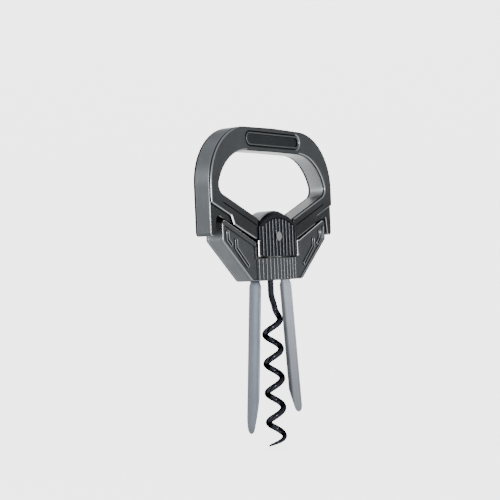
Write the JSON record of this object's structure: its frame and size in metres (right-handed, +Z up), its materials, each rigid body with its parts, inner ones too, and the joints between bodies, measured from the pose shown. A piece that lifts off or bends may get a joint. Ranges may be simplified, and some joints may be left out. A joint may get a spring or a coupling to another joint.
{
  "type": "pronged corkscrew",
  "caption": "Corkscrew with a D-shaped pull handle that carries a helical worm; the handle nests in a flat housing whose hinged steel prongs straddle the cork.",
  "frame": {"origin": "on the worm's axis, in the flat underside of the prong housing, where the tool comes down on a bottle's mouth", "axes": "+Z up along the worm's axis from its tip to the handle, X across the handle through both prong pivots, -Y is the front with the name plate and badge"},
  "size_m": [0.104, 0.0134, 0.1624],
  "materials": {
    "handle_finish": "satin gunmetal",
    "housing_finish": "satin gunmetal",
    "hub_finish": "satin gunmetal",
    "name_plate_finish": "satin dark",
    "grip_pad_finish": "satin gunmetal",
    "badge_metal": "satin",
    "worm_coating": "gloss black low-friction coating",
    "prong_steel": "satin",
    "fastener_steel": "satin",
    "spring_steel": "bright",
    "bush_brass": "turned",
    "collar_steel": "satin",
    "guide_plastic": "low-friction moulding"
  },
  "bodies": {
    "housing": {"left_core_block": "housing_finish", "right_core_block": "housing_finish", "housing_front_cover": "housing_finish", "housing_back_cover": "housing_finish", "housing_screws": "fastener_steel", "guide_bush": "guide_plastic", "left_catch_spring": "spring_steel", "right_catch_spring": "spring_steel", "left_hinge_pin": "fastener_steel", "right_hinge_pin": "fastener_steel", "left_return_spring": "spring_steel", "right_return_spring": "spring_steel"},
    "handle": {"handle_frame": "handle_finish", "handle_front_plate": "handle_finish", "handle_back_plate": "handle_finish", "handle_screws": "fastener_steel", "front_name_plate": "name_plate_finish", "back_name_plate": "name_plate_finish", "hub_block": "hub_finish", "hub_dowels": "fastener_steel", "front_grip_pad": "grip_pad_finish", "pad_badge": "badge_metal", "back_grip_pad": "grip_pad_finish", "worm": "worm_coating", "worm_cross_pin": "fastener_steel", "worm_collar": "collar_steel"},
    "left_lever": {"left_prong": "prong_steel", "left_pivot_bush": "bush_brass"},
    "right_lever": {"right_prong": "prong_steel", "right_pivot_bush": "bush_brass"}
  },
  "joints": [
    {"name": "handle_lift", "type": "slide", "parent": "housing", "child": "handle", "axis": [0, 0, 1], "range_m": [0, 0.0975]},
    {"name": "left_prong_swing", "type": "hinge", "parent": "housing", "child": "left_lever", "pos_m": [-0.0128, 0, 0.006], "axis": [0, -1, 0], "range_deg": [0, 7], "stiffness_Nm_per_rad": 0.15, "springref_deg": -11.46, "deforming": ["left_return_spring"]},
    {"name": "right_prong_swing", "type": "hinge", "parent": "housing", "child": "right_lever", "pos_m": [0.0128, 0, 0.006], "axis": [0, 1, 0], "range_deg": [0, 7], "stiffness_Nm_per_rad": 0.15, "springref_deg": -11.46, "deforming": ["right_return_spring"]}
  ]
}
